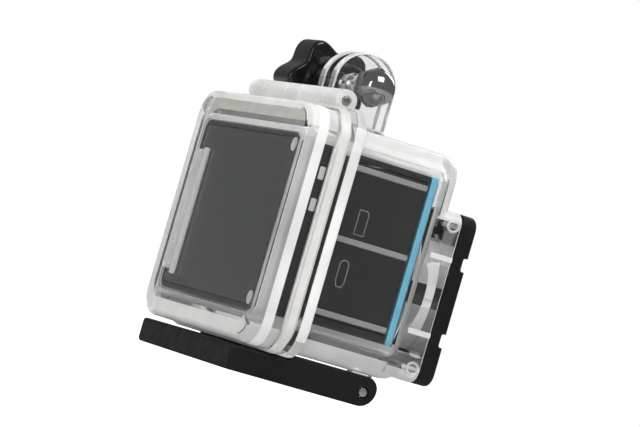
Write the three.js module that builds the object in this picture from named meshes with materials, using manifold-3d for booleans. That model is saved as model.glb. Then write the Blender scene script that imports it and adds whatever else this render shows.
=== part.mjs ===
// An action camera with a screen module on its back, in its clear waterproof housing.
//
// The housing hangs upside down from its two prongs, so the model stands on the housing's latch.
// Units are millimetres. The lens looks along -Y, the screen along +Y, and +Z points from the latch
// to the prongs. Sizes and places below are measured from the middle of the camera body. The whole
// assembly is then lifted, so that the origin of the part lies under its middle, on the latch's face.

import * as THREE from "three";
import { mergeVertices } from "three/addons/utils/BufferGeometryUtils.js";
import Module from "manifold-3d";

const wasm = await Module();
wasm.setup();

// Driving dimensions --------------------------------------------------------------------------

const GAP = 0.3; // clearance between pieces that meet
const PAST = 1; // how far a cutting shape runs past the face that it cuts

const CAMERA = { halfWidth: 29.5, halfHeight: 20.5, front: -10, back: 10.5, corner: 3, wall: 1.5 };
const FACE = { front: -12.8, back: -10.3, trim: 1.3, trimFront: -12.1 }; // front plate and trim band
const SCREEN = { halfWidth: 29.5, halfHeight: 20.2, front: 10.8, back: 19.6, wall: 1.5 };

const SHELL = { halfWidth: 33, bottom: -26, top: 24.3, front: -16.2, corner: 5, bevel: 2.4 };
const CAVITY = { halfWidth: 30.1, halfHeight: 21.1, front: -14, back: 20.1, corner: 3 };
const FLANGE = { halfWidth: 35, bottom: -27.2, top: 28, front: 9.1, back: 11.5, corner: 7 };
const DOOR = { front: 12.8, back: 22.3, halfWidth: 33.4, bottom: -26.6, top: 26.4, corner: 6, bevel: 2 };
const DOOR_FLANGE = { back: 15.2, top: 27.5 };
const DOOR_SEAL = { outer: [33.4, 25.2], inner: [31.2, 22.6], front: 11.8, back: 13.9 };

const HINGE = { y: 12.15, z: 29.2, knuckle: 2.5, pin: 0.9 };
const SHELL_KNUCKLES = [[-26, -18], [-4, 4], [18, 26]];
const DOOR_KNUCKLES = [[-17.7, -4.3], [4.3, 17.7]];

const LENS = { x: -14, z: -6 };
const PORT = { half: 19, face: -19, front: -22.8, corner: 3, opening: 13, screw: 16.6 };
const NOTCH = { z: 8.5, halfWidth: 4, halfHeight: 1.5, depth: 1.3 }; // in the port frame's side edges

const LATCH = { halfWidth: 28, front: -12.9, back: 22.8, bottom: -33, top: -27.6, plateFront: 4 };
const LATCH_ARM = {
  inner: 25, top: -26.3, back: 8.7, topRound: 2.8, bottomRound: 3.8, small: 0.8,
  pinY: -9.7, pinZ: -29.9, pin: 1, lug: 2.7, lugInner: 21.7,
};
const LOCK = { x: [-6, 3], y: [9.3, 15.7], z: [-32.7, -31.1], travel: 3 };

const BOLT = { z: 35, radius: 2.4, hole: 2.7, from: -12.6, to: 14 };
const PRONG = { radius: 7.5, gapHalf: 1.6, thickness: 3 };
const KNOB = { neck: [7.5, 17], neckRadius: 4.6, head: [17, 28], lobes: 5, radius: 9.6, swell: 0.13, turn: -10 };
const NUT = { hex: [-11.2, -8], hexRadius: 4.5, dome: 4.1 };

const CORNER_STEPS = 2; // each rounded corner takes twice this many straight pieces
const ROUND = 28; // sides of a large turned piece
const SMALL = 16; // sides of a small turned piece

// The three push buttons: each pushes along one axis on a button of the camera below it.
const BUTTON = { stem: 1.2, cap: 4.4, skirt: 3.7, lid: 1.1, bore: 1.6, clip: 2.2, relief: 2.5 };
const BUTTONS = [
  { name: "shutter", along: "z", sign: -1, wall: 26, face: 20.5, cap: 5.6, deep: 1.1, at: [14, -4, 0] },
  { name: "power", along: "y", sign: -1, wall: 16.2, face: 12.8, cap: 3.8, deep: 2.2, at: [19, 0, 6] },
  { name: "side", along: "x", sign: 1, wall: 31.8, face: 29.5, cap: 3.2, deep: 1.1, at: [0, -2, 3] },
];

// Colours and finishes ------------------------------------------------------------------------

const FINISH = {
  clear: { color: 0xe9eef0, roughness: 0.08, metalness: 0, transparent: true, opacity: 0.35 },
  glass: { color: 0xdfe8ec, roughness: 0.02, metalness: 0, transparent: true, opacity: 0.35 },
  matteBlack: { color: 0x1b1b1c, roughness: 0.62, metalness: 0 },
  glossBlack: { color: 0x0c0c0d, roughness: 0.18, metalness: 0 },
  charcoal: { color: 0x343536, roughness: 0.55, metalness: 0 },
  grey: { color: 0x77797a, roughness: 0.5, metalness: 0 },
  blue: { color: 0x5fb4d4, roughness: 0.35, metalness: 0 },
  seal: { color: 0xd9d2c4, roughness: 0.6, metalness: 0 },
  rubber: { color: 0x161616, roughness: 0.85, metalness: 0 },
  chrome: { color: 0xd8d8d6, roughness: 0.1, metalness: 1 },
  steel: { color: 0xa5a5a3, roughness: 0.35, metalness: 1 },
  board: { color: 0x1d4a34, roughness: 0.5, metalness: 0 },
  screen: { color: 0x26292b, roughness: 0.12, metalness: 0 },
  battery: { color: 0x2a2c30, roughness: 0.5, metalness: 0 },
};

// Solids --------------------------------------------------------------------------------------

const AXES = [new THREE.Vector3(1, 0, 0), new THREE.Vector3(0, 1, 0), new THREE.Vector3(0, 0, 1)];

// The index of an axis, and of the two that follow it in the order x, y, z, x, y.
function axisOrder(along) {
  const w = "xyz".indexOf(along);
  return [w, (w + 1) % 3, (w + 2) % 3];
}

// A closed geometry as a solid. Triangles that shrink to a line where a profile meets its axis go.
function solid(geometry) {
  const loose = geometry.index ? geometry.toNonIndexed() : geometry;
  const bare = new THREE.BufferGeometry().setAttribute("position", loose.getAttribute("position"));
  const merged = mergeVertices(bare, 1e-4);
  const corners = [];
  const index = merged.index.array;
  for (let i = 0; i < index.length; i += 3) {
    const [a, b, c] = index.subarray(i, i + 3);
    if (a !== b && b !== c && c !== a) corners.push(a, b, c);
  }
  const build = () =>
    new wasm.Manifold(
      new wasm.Mesh({
        numProp: 3,
        vertProperties: merged.attributes.position.array,
        triVerts: new Uint32Array(corners),
      }),
    );
  const made = build();
  if (made.volume() > 0) return made;
  corners.reverse();
  return build();
}

// A rounded rectangle as a shape.
function roundedShape([u0, u1], [v0, v1], radius) {
  const shape = new THREE.Shape();
  if (!radius) {
    shape.moveTo(u0, v0).lineTo(u1, v0).lineTo(u1, v1).lineTo(u0, v1);
    return shape;
  }
  const quarter = Math.PI / 2;
  shape.absarc(u1 - radius, v0 + radius, radius, -quarter, 0);
  shape.absarc(u1 - radius, v1 - radius, radius, 0, quarter);
  shape.absarc(u0 + radius, v1 - radius, radius, quarter, 2 * quarter);
  shape.absarc(u0 + radius, v0 + radius, radius, 2 * quarter, 3 * quarter);
  return shape;
}

// A shape pushed along an axis. Its own two directions are the axes that follow.
function extruded(shape, along, [from, to], bevel = 0) {
  const [w, u, v] = axisOrder(along);
  const geometry = new THREE.ExtrudeGeometry(shape, {
    depth: to - from - 2 * bevel,
    bevelEnabled: bevel > 0,
    bevelThickness: bevel,
    bevelSize: bevel,
    bevelOffset: -bevel,
    bevelSegments: 2,
    curveSegments: CORNER_STEPS,
  });
  geometry.translate(0, 0, from + bevel);
  geometry.applyMatrix4(new THREE.Matrix4().makeBasis(AXES[u], AXES[v], AXES[w]));
  return solid(geometry);
}

// A box between two limits on each axis, with its corners rounded about one axis.
function block(x, y, z, { along = "y", corner = 0, bevel = 0 } = {}) {
  const spans = [x, y, z];
  const [w, u, v] = axisOrder(along);
  return extruded(roundedShape(spans[u], spans[v], corner), along, spans[w], bevel);
}

const around = (middle, half) => [middle - half, middle + half];
const upTo = (half) => around(0, half);

// A profile of [radius, height] points turned about an axis through a point.
function turned(profile, along, centre, segments = ROUND) {
  const [w, u, v] = axisOrder(along);
  const points = profile.map(([r, h]) => new THREE.Vector2(r, h));
  const geometry = new THREE.LatheGeometry(points, segments);
  geometry.applyMatrix4(new THREE.Matrix4().makeBasis(AXES[v], AXES[w], AXES[u]));
  geometry.translate(...centre);
  return solid(geometry);
}

function rod(along, radius, [from, to], centre, segments = ROUND) {
  return turned([[0, from], [radius, from], [radius, to], [0, to]], along, centre, segments);
}

function ring(along, outer, inner, [from, to], centre, segments = ROUND) {
  const profile = [[inner, from], [outer, from], [outer, to], [inner, to], [inner, from]];
  return turned(profile, along, centre, segments);
}

const joined = (first, ...others) => others.reduce((whole, other) => whole.add(other), first);
const cut = (first, ...others) => others.reduce((whole, other) => whole.subtract(other), first);

// A coil of round wire about an axis through a point.
class Coil extends THREE.Curve {
  constructor(along, radius, [from, to], turns, centre) {
    super();
    Object.assign(this, { along, radius, from, to, turns, centre });
  }

  getPoint(t) {
    const [w, u, v] = axisOrder(this.along);
    const angle = 2 * Math.PI * this.turns * t;
    const point = new THREE.Vector3(...this.centre);
    point.setComponent(w, this.from + (this.to - this.from) * t);
    point.setComponent(u, point.getComponent(u) + this.radius * Math.cos(angle));
    point.setComponent(v, point.getComponent(v) + this.radius * Math.sin(angle));
    return point;
  }
}

function spring(along, radius, wire, span, turns, centre) {
  const section = new THREE.Shape().absarc(0, 0, wire / 2, 0, 2 * Math.PI);
  const geometry = new THREE.ExtrudeGeometry(section, {
    steps: Math.round(10 * turns),
    curveSegments: 3,
    extrudePath: new Coil(along, radius, span, turns, centre),
  });
  return solid(geometry);
}

// The assembly --------------------------------------------------------------------------------

const camera = new THREE.Group();
camera.position.z = -LATCH.bottom;

function add(name, made, finish) {
  const mesh = made.getMesh();
  const geometry = new THREE.BufferGeometry();
  geometry.setAttribute("position", new THREE.BufferAttribute(mesh.vertProperties, 3));
  geometry.setIndex(new THREE.BufferAttribute(mesh.triVerts, 1));
  geometry.computeVertexNormals();
  const piece = new THREE.Mesh(geometry, new THREE.MeshStandardMaterial(FINISH[finish]));
  piece.name = name;
  camera.add(piece);
}

// A distance outwards from the housing's middle, as a span along the button's own axis.
function outward({ sign }, from, to) {
  return sign > 0 ? [from, to] : [-to, -from];
}

const lensAxis = [LENS.x, 0, LENS.z];
const hingeAxis = [0, HINGE.y, HINGE.z];
const latchAxis = [0, LATCH_ARM.pinY, LATCH_ARM.pinZ];
const boltAxis = [0, 0, BOLT.z];
const portCorners = [[-1, -1], [1, -1], [1, 1], [-1, 1]].map(([i, k]) => [
  LENS.x + i * PORT.screw,
  0,
  LENS.z + k * PORT.screw,
]);

// The housing ---------------------------------------------------------------------------------

function housingShell() {
  let shell = joined(
    block(upTo(SHELL.halfWidth), [SHELL.front, FLANGE.back], [SHELL.bottom, SHELL.top], {
      corner: SHELL.corner,
      bevel: SHELL.bevel,
    }),
    block(upTo(FLANGE.halfWidth), [FLANGE.front, FLANGE.back], [FLANGE.bottom, FLANGE.top], {
      corner: FLANGE.corner,
    }),
    block(around(LENS.x, PORT.half), [PORT.face, SHELL.front + PAST], around(LENS.z, PORT.half), {
      corner: PORT.corner,
    }),
    prongs(),
  );
  shell = cut(
    shell,
    block(upTo(CAVITY.halfWidth), [CAVITY.front, FLANGE.back + PAST], upTo(CAVITY.halfHeight), {
      corner: CAVITY.corner,
    }),
    rod("y", PORT.opening - 0.7, [PORT.face - PAST, CAVITY.front + PAST], lensAxis),
    ...portCorners.map((at) => rod("y", 1.1, [PORT.face - PAST, -14.8], at, SMALL)),
    rod("x", BOLT.hole, upTo(2 * PRONG.radius), boltAxis, SMALL),
    ...DOOR_KNUCKLES.map(([a, b]) => rod("x", HINGE.knuckle + GAP, [a - GAP, b + GAP], hingeAxis)),
    ...BUTTONS.flatMap(buttonBores),
  );
  shell = joined(shell, ...SHELL_KNUCKLES.map((span) => rod("x", HINGE.knuckle, span, hingeAxis)));
  for (const side of [-1, 1]) shell = shell.add(latchLug(side));
  return cut(
    shell,
    rod("x", HINGE.pin + GAP, upTo(FLANGE.halfWidth), hingeAxis, SMALL),
    rod("x", LATCH_ARM.pin + GAP, upTo(LATCH_ARM.inner + PAST), latchAxis, SMALL),
  );
}

// Two round ears that a mount's three ears would slide between, on a low pad.
function prongs() {
  const pad = block(upTo(6.2), upTo(PRONG.radius), [SHELL.top - PAST, 26.5], { corner: 1 });
  const ears = [-1, 1].flatMap((side) => {
    const inner = side * PRONG.gapHalf;
    const outer = side * (PRONG.gapHalf + PRONG.thickness);
    const span = [Math.min(inner, outer), Math.max(inner, outer)];
    return [
      rod("x", PRONG.radius, span, boltAxis),
      block(span, upTo(PRONG.radius), [SHELL.top - PAST, BOLT.z], { along: "x" }),
    ];
  });
  return joined(pad, ...ears);
}

// One of the two lugs under the housing that carry the latch's pins.
function latchLug(side) {
  const ends = [side * LATCH_ARM.lugInner, side * (LATCH_ARM.inner - GAP)];
  const span = [Math.min(...ends), Math.max(...ends)];
  const y = around(LATCH_ARM.pinY, LATCH_ARM.lug);
  return rod("x", LATCH_ARM.lug, span, latchAxis, SMALL).add(
    block(span, y, [LATCH_ARM.pinZ, SHELL.bottom + PAST], { along: "x" }),
  );
}

// The bore of a button's stem, the relief for its clip inside, and the seat of a sunk cap outside.
function buttonBores(button) {
  const inner = outward(button, button.face - PAST, button.face + 1.6);
  const through = outward(button, button.face, button.wall + 3 * PAST);
  const seat = outward(button, button.wall, button.wall + 3 * PAST);
  return [
    rod(button.along, BUTTON.relief, inner, button.at, SMALL),
    rod(button.along, BUTTON.bore, through, button.at, SMALL),
    rod(button.along, BUTTON.cap + GAP, seat, button.at, SMALL),
  ];
}

function lensPort() {
  const pocket = (half, corner, span) =>
    block(around(LENS.x, half), span, around(LENS.z, half), { corner });
  let frame = cut(
    pocket(PORT.half, PORT.corner, [PORT.front, PORT.face - GAP]),
    pocket(15.8, PORT.corner + 2, [-22.1, PORT.face + PAST]),
    rod("y", PORT.opening, [PORT.front - PAST, PORT.face], lensAxis),
    ...portCorners.map((at) => rod("y", 1.8, [PORT.front - PAST, -21.7], at, SMALL)),
    ...portCorners.map((at) => rod("y", 1.1, [PORT.front, PORT.face], at, SMALL)),
  );
  for (const i of [-1, 1]) {
    for (const k of [-1, 1]) {
      const x = around(LENS.x + i * PORT.half, NOTCH.halfWidth);
      const z = around(LENS.z + k * NOTCH.z, NOTCH.halfHeight);
      frame = frame.subtract(block(x, [PORT.front - PAST, PORT.front + NOTCH.depth], z));
    }
  }
  add("port_frame", frame, "matteBlack");
  add("port_window", pocket(15.5, PORT.corner + 1.7, [-21.8, -20.1]), "glass");
  add(
    "port_seal",
    pocket(15.5, PORT.corner + 1.7, [-19.8, PORT.face - GAP]).subtract(
      rod("y", PORT.opening, [-20.8, PORT.face + PAST], lensAxis),
    ),
    "rubber",
  );
  const screw = [[0, -22.6], [1.5, -22.6], [1.5, -22], [0.8, -22], [0.8, -15.1], [0, -15.1]];
  portCorners.forEach((at, i) => add(`port_screw_${i + 1}`, turned(screw, "y", at, SMALL), "steel"));
}

function housingButton(button) {
  const { name, along, at, wall, face } = button;
  const turn = (profile) => {
    const points = profile.map(([r, h]) => [r, button.sign * h]);
    return turned(points, along, at, SMALL);
  };
  const top = wall + button.cap;
  const lid = top - BUTTON.lid;
  const tip = face + GAP;
  const plunger = turn([
    [0, tip], [BUTTON.stem, tip], [BUTTON.stem, lid], [BUTTON.skirt, lid], [BUTTON.skirt, wall + 1],
    [BUTTON.cap, wall + 1], [BUTTON.cap, top - 0.3], [BUTTON.cap - 0.3, top], [0, top],
  ]);
  add(`${name}_plunger`, plunger, "matteBlack");
  const clip = outward(button, face + 0.9, face + 1.3);
  add(`${name}_clip`, ring(along, BUTTON.clip, BUTTON.stem + GAP, clip, at, SMALL), "steel");
  const seal = outward(button, wall + GAP, wall + 1.1);
  add(`${name}_seal`, ring(along, 2.4, BUTTON.stem + GAP, seal, at, SMALL), "rubber");
  const coil = outward(button, wall + 0.55, lid - 0.55);
  const turns = Math.max(1.5, 0.8 * (coil[1] - coil[0]));
  add(`${name}_spring`, spring(along, 3.05, 0.5, coil, turns, at), "steel");
  const deep = outward(button, face - button.deep, face);
  add(`camera_${name}_button`, rod(along, 3, deep, at, SMALL), "charcoal");
}

// A ring that lies flat in the joint of the door, wider or narrower by an amount on each side.
function sealRing([from, to], wider) {
  const [outerX, outerZ] = DOOR_SEAL.outer;
  const [innerX, innerZ] = DOOR_SEAL.inner;
  return block(upTo(outerX + wider), [from, to], upTo(outerZ + wider), { corner: 5 }).subtract(
    block(upTo(innerX - wider), [from - PAST, to + PAST], upTo(innerZ - wider), { corner: 3 }),
  );
}

function doorAndHinge() {
  const cavity = block(
    upTo(CAVITY.halfWidth),
    [DOOR.front - PAST, CAVITY.back],
    [-CAVITY.halfHeight - 0.5, CAVITY.halfHeight],
    { corner: CAVITY.corner },
  );
  const flange = block(
    upTo(FLANGE.halfWidth),
    [DOOR.front, DOOR_FLANGE.back],
    [FLANGE.bottom, DOOR_FLANGE.top],
    { corner: FLANGE.corner },
  );
  const bulge = block(upTo(DOOR.halfWidth), [DOOR.front, DOOR.back], [DOOR.bottom, DOOR.top], {
    corner: DOOR.corner,
    bevel: DOOR.bevel,
  });
  const knuckles = DOOR_KNUCKLES.flatMap((span) => [
    rod("x", HINGE.knuckle, span, hingeAxis),
    block(span, [DOOR.front, HINGE.y + HINGE.knuckle], [26, HINGE.z], { along: "x" }),
  ]);
  const door = cut(
    joined(flange, bulge),
    ...SHELL_KNUCKLES.map(([a, b]) => rod("x", HINGE.knuckle + GAP, [a - GAP, b + GAP], hingeAxis)),
  );
  const bore = rod("x", HINGE.pin + GAP, upTo(FLANGE.halfWidth), hingeAxis, SMALL);
  const groove = sealRing([DOOR.front - PAST, DOOR_SEAL.back + GAP], GAP);
  add("back_door", cut(joined(door, ...knuckles), cavity, bore, groove), "clear");
  const span = [SHELL_KNUCKLES[0][0], SHELL_KNUCKLES.at(-1)[1]];
  add("door_hinge_pin", rod("x", HINGE.pin, span, hingeAxis, SMALL), "steel");
  add("door_seal", sealRing([DOOR_SEAL.front, DOOR_SEAL.back], 0), "seal");
}

// One of the latch's arms from the side: round at the front, where it turns about its pin.
function armShape() {
  const { small, topRound, bottomRound, top, back } = LATCH_ARM;
  const quarter = Math.PI / 2;
  const shape = new THREE.Shape();
  const low = [LATCH.front + bottomRound, LATCH.bottom + bottomRound];
  shape.absarc(...low, bottomRound, 2 * quarter, 3 * quarter);
  shape.lineTo(back, LATCH.bottom);
  shape.absarc(back - small, top - small, small, 0, quarter);
  shape.absarc(LATCH.front + topRound, top - topRound, topRound, quarter, 2 * quarter);
  return shape;
}

// A plate under the door's edge with two arms forward to the pins, and its sliding lock.
function latchAndLock() {
  const pocket = [LOCK.x[0] - GAP, LOCK.x[1] + LOCK.travel + GAP];
  const plateSpan = [LATCH.plateFront, LATCH.back];
  const latch = cut(
    joined(
      block(upTo(LATCH.halfWidth), plateSpan, [LATCH.bottom, LATCH.top], {
        along: "x",
        corner: LATCH_ARM.small,
      }),
      extruded(armShape(), "x", [-LATCH.halfWidth, -LATCH_ARM.inner]),
      extruded(armShape(), "x", [LATCH_ARM.inner, LATCH.halfWidth]),
    ),
    block(pocket, [LOCK.y[0] - GAP, LOCK.y[1] + GAP], [LATCH.bottom - PAST, LOCK.z[1] + GAP]),
    rod("x", LATCH_ARM.pin + GAP, upTo(LATCH.halfWidth + PAST), latchAxis, SMALL),
  );
  add("latch", latch, "matteBlack");
  const ribs = [0, 1, 2].map((i) =>
    block(around(-3.6 + 2.1 * i, 0.5), [LOCK.y[0] + 0.8, LOCK.y[1] - 0.8], [LOCK.z[0], LOCK.z[0] + 0.6]),
  );
  const slider = block(LOCK.x, LOCK.y, [LOCK.z[0] + 0.5, LOCK.z[1]], { along: "z", corner: 0.8 });
  add("latch_lock", joined(slider, ...ribs), "grey");
  [-1, 1].forEach((way, i) => {
    const ends = [way * LATCH_ARM.lugInner, way * LATCH.halfWidth];
    const span = [Math.min(...ends), Math.max(...ends)];
    add(`latch_pin_${i + 1}`, rod("x", LATCH_ARM.pin, span, latchAxis, SMALL), "steel");
  });
}

// The camera ----------------------------------------------------------------------------------

function cameraCase() {
  const { halfWidth, halfHeight, front, back, corner, wall } = CAMERA;
  const sideWindow = block([-halfWidth - PAST, 2 * PAST - halfWidth], [front - PAST, 8], [-17, 17.5]);
  const batteryWindow = block([3.4, 27.3], [-7.3, 5.8], [halfHeight - 2 * PAST, halfHeight + PAST]);
  const body = cut(
    block(upTo(halfWidth), [front, back], upTo(halfHeight), { corner }),
    block(upTo(halfWidth - wall), [front - PAST, back - wall], upTo(halfHeight - wall), {
      corner: corner - wall,
    }),
    sideWindow,
    batteryWindow,
    block(upTo(7.3), [back - 2 * wall, back + PAST], upTo(3.3)),
    ...BUTTONS.filter(({ along }) => along !== "y").map((button) =>
      rod(button.along, 3 + GAP, outward(button, button.face - 2 * PAST, button.face + PAST), button.at, SMALL),
    ),
  );
  add("camera_body", body, "charcoal");

  const doorSpan = [front + GAP, 8 - GAP];
  const ribs = [16, 1, -15.5].map((z) => block([-29.7, -29.2], doorSpan, around(z, 0.6)));
  const sidePanel = block([-halfWidth, -28.3], doorSpan, [-16.7, 17.2]);
  add("side_door", joined(sidePanel, ...ribs), "charcoal");
  add("battery_door", block([3.7, 27], [-7, 5.5], [19.3, halfHeight], { along: "z" }), "charcoal");

  const depth = [FACE.front, FACE.back];
  const band = [FACE.trimFront, FACE.back];
  const trim = block(upTo(halfWidth), band, upTo(halfHeight), { corner, bevel: 0.4 }).subtract(
    block(upTo(halfWidth - FACE.trim), [band[0] - PAST, band[1] + PAST], upTo(halfHeight - FACE.trim), {
      corner: corner - FACE.trim,
    }),
  );
  add("front_trim", trim, "blue");
  const inset = FACE.trim + GAP;
  const power = BUTTONS[1];
  const plate = cut(
    block(upTo(halfWidth - inset), depth, upTo(halfHeight - inset), { corner: corner - inset + 0.2 }),
    rod("y", 8.4, [depth[0] - PAST, depth[1] + PAST], lensAxis),
    rod("y", 3 + GAP, [depth[0] - PAST, depth[1] + PAST], power.at, SMALL),
    block([12.7, 25.3], [depth[0] - PAST, depth[1] + PAST], [-12.3, -2.7]),
    rod("y", 1.3, [depth[0] - PAST, depth[1] + PAST], [19, 0, 14], SMALL),
  );
  add("front_plate", plate, "charcoal");
  add("status_display", block([13, 25], [-12.5, -10.8], [-12, -3]), "screen");
  add("status_light", rod("y", 1, [-12.7, -11], [19, 0, 14], SMALL), "glass");
}

function lensGroup() {
  const bezel = turned(
    [[8.4, -13.1], [11.3, -13.1], [11.3, -16.9], [10.6, -17.6], [9.2, -17.6], [8.4, -16.6], [8.4, -13.1]],
    "y",
    lensAxis,
  );
  add("lens_bezel", bezel, "glossBlack");
  const barrel = [[8, -16.5], [8, 2], [4.3, 2], [4.3, -12.8], [6.6, -12.8], [6.6, -16.5], [8, -16.5]];
  add("lens_barrel", turned(barrel, "y", lensAxis), "glossBlack");
  const frontLens = [[0, -16.2], [2.6, -15.9], [4.8, -15.1], [6.3, -13.9], [6.3, -13.1], [0, -13.1]];
  add("front_lens", turned(frontLens, "y", lensAxis), "glass");
  add("rear_lens", turned([[0, -3.2], [2.4, -3], [4, -2.2], [4, -0.6], [0, -0.6]], "y", lensAxis, SMALL), "glass");
  add("image_sensor", block(around(LENS.x, 5), [2.3, 3], around(LENS.z, 4)), "screen");
  add("sensor_board", block(around(LENS.x, 10.5), [3.3, 4.3], around(LENS.z, 10.5)), "board");
}

function cameraInside() {
  add("main_board", block(upTo(27), [6.8, 7.8], upTo(18)), "board");
  add("battery", block([4, 26], [-6.5, 5], [-16.5, 17.5], { corner: 1.5 }), "battery");
  add("memory_card", block([-28, -17], [4.6, 5.4], [4.8, 15]), "glossBlack");
  add("card_socket", block([-27.5, -17], [5.7, 6.5], [4.5, 15.5]), "steel");
  add("data_port", block([-28, -22.5], [-1, 3], [-12, -4]), "steel");
  add("video_port", block([-28, -22.5], [-1, 3], [6, 12]), "steel");
  add("speaker", rod("y", 4, [2, 5], [-4, 0, 12], SMALL), "glossBlack");
  add("link_connector", block(upTo(7), [8.1, 13.3], upTo(3)), "glossBlack");
}

function screenModule() {
  const { halfWidth, halfHeight, front, back, wall } = SCREEN;
  const hollow = [halfWidth - wall, halfHeight - wall];
  const shell = cut(
    block(upTo(halfWidth), [front, back], upTo(halfHeight), { corner: CAMERA.corner }),
    block(upTo(hollow[0]), [front + wall, back + PAST], upTo(hollow[1]), { corner: 1.5 }),
    block(upTo(7.3), [front - PAST, front + 2 * wall], upTo(3.3)),
  );
  add("screen_case", shell, "matteBlack");
  add("screen_board", block(upTo(26), [13.7, 14.7], upTo(17)), "board");
  add("screen_panel", block(upTo(26.5), [15.2, 18.1], upTo(17.6)), "screen");
  add("screen_glass", block(upTo(hollow[0] - GAP), [18.5, 19.5], upTo(hollow[1] - GAP), { corner: 1.2 }), "glass");
}

// The thumbscrew ------------------------------------------------------------------------------

function thumbscrew() {
  // The knob's outline is a circle whose radius swells once for each lobe.
  const outline = [];
  const points = 8 * KNOB.lobes;
  for (let i = 0; i < points; i += 1) {
    const turn = (2 * Math.PI * i) / points;
    const radius = KNOB.radius * (1 - KNOB.swell + KNOB.swell * Math.cos(KNOB.lobes * turn));
    const angle = turn + THREE.MathUtils.degToRad(KNOB.turn);
    outline.push(new THREE.Vector2(radius * Math.cos(angle), BOLT.z + radius * Math.sin(angle)));
  }
  const socket = rod("x", BOLT.hole, [KNOB.neck[0] - PAST, BOLT.to + GAP], boltAxis, SMALL);
  const neck = turned(
    [[0, KNOB.neck[0]], [KNOB.neckRadius, KNOB.neck[0]], [KNOB.neckRadius, 15], [6.2, 17.5], [0, 17.5]],
    "x",
    boltAxis,
  );
  add("thumb_knob", cut(joined(extruded(new THREE.Shape(outline), "x", KNOB.head, 0.8), neck), socket), "glossBlack");
  add("thumb_bolt", rod("x", BOLT.radius, [BOLT.from, BOLT.to], boltAxis, SMALL), "steel");
  const domeProfile = [[0, 4.1], [2.2, 3.5], [3.6, 2.1], [NUT.dome, 0.4], [NUT.dome, -GAP], [0, -GAP]];
  const dome = turned(domeProfile.map(([r, out]) => [r, NUT.hex[0] - out]), "x", boltAxis, SMALL + 8);
  const hex = rod("x", NUT.hexRadius, NUT.hex, boltAxis, 6);
  const thread = rod("x", BOLT.hole, [BOLT.from - GAP, NUT.hex[1] + PAST], boltAxis, SMALL);
  add("acorn_nut", cut(joined(hex, dome), thread), "chrome");
}

add("housing_shell", housingShell(), "clear");
lensPort();
doorAndHinge();
latchAndLock();
BUTTONS.forEach(housingButton);
cameraCase();
lensGroup();
cameraInside();
screenModule();
thumbscrew();

const group = new THREE.Group();
group.add(camera);
export default group;
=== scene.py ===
import math

import bmesh
import bpy
from mathutils import Matrix, Vector


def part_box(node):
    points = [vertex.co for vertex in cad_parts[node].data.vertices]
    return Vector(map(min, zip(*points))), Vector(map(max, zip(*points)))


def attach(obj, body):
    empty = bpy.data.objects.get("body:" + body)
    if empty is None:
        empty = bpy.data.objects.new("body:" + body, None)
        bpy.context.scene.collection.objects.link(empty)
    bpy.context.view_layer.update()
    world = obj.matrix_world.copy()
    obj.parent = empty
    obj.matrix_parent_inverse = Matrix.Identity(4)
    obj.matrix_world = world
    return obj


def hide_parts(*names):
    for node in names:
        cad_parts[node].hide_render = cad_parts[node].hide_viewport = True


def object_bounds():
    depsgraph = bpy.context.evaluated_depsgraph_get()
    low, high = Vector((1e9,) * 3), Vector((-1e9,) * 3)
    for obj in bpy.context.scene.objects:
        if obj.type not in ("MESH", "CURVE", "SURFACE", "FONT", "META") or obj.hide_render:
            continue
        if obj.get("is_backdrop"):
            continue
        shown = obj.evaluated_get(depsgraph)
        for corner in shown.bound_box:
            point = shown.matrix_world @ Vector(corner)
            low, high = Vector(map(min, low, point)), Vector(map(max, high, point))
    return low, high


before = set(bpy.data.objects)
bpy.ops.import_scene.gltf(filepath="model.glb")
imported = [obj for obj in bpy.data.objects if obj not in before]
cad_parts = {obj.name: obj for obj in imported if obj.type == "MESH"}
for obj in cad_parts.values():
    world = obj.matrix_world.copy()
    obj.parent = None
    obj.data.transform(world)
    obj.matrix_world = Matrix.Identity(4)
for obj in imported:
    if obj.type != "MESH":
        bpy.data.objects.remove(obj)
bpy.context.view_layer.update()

# An action camera with a screen module on its back, upside down in its clear waterproof housing.
# Sizes are in millimetres. Places are measured from the middle of the camera body: x across, y from
# the lens side to the screen side, z from the latch to the mounting ears. make() and stroke() turn
# them into metres in the frame's own coordinates.

MM = 0.001
X, Y, Z = 0, 1, 2

body_low, body_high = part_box("camera_body")
LIFT = (body_low[Z] + body_high[Z]) / 2 / MM  # height of the camera body's middle above the floor


def span(node, axis):
    """A CAD node's limits on one axis."""
    low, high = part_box(node)
    drop = LIFT if axis == Z else 0.0
    return (low[axis] / MM - drop, high[axis] / MM - drop)


def spans(node):
    """A CAD node's limits on x, y and z."""
    return [span(node, axis) for axis in (X, Y, Z)]


def middle(node, axis):
    """The middle of a CAD node on one axis."""
    return sum(span(node, axis)) / 2


def about(centre, reach):
    """Limits at the same distance on both sides of a place."""
    return (centre - reach, centre + reach)


def grown(limits, by):
    """Limits moved outwards, or inwards by a negative amount."""
    return (limits[0] - by, limits[1] + by)


# Sizes that the frame's boxes give -----------------------------------------------------------

CASE_X, CASE_Y, CASE_Z = spans("camera_body")
SCREEN_X, SCREEN_Y, SCREEN_Z = spans("screen_case")
PORT_X, PORT_Y, PORT_Z = spans("port_frame")
LATCH_X, LATCH_Y, LATCH_Z = spans("latch")
DOOR_X, DOOR_Y = span("back_door", X), span("back_door", Y)
BOLT_Z = middle("thumb_bolt", Z)
LENS = (middle("port_frame", X), middle("port_frame", Z))
HINGE = (middle("door_hinge_pin", Y), middle("door_hinge_pin", Z))
LATCH_PIN = (middle("latch_pin_1", Y), middle("latch_pin_1", Z))

# Walls, roundings and holes between them ------------------------------------------------------

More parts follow.
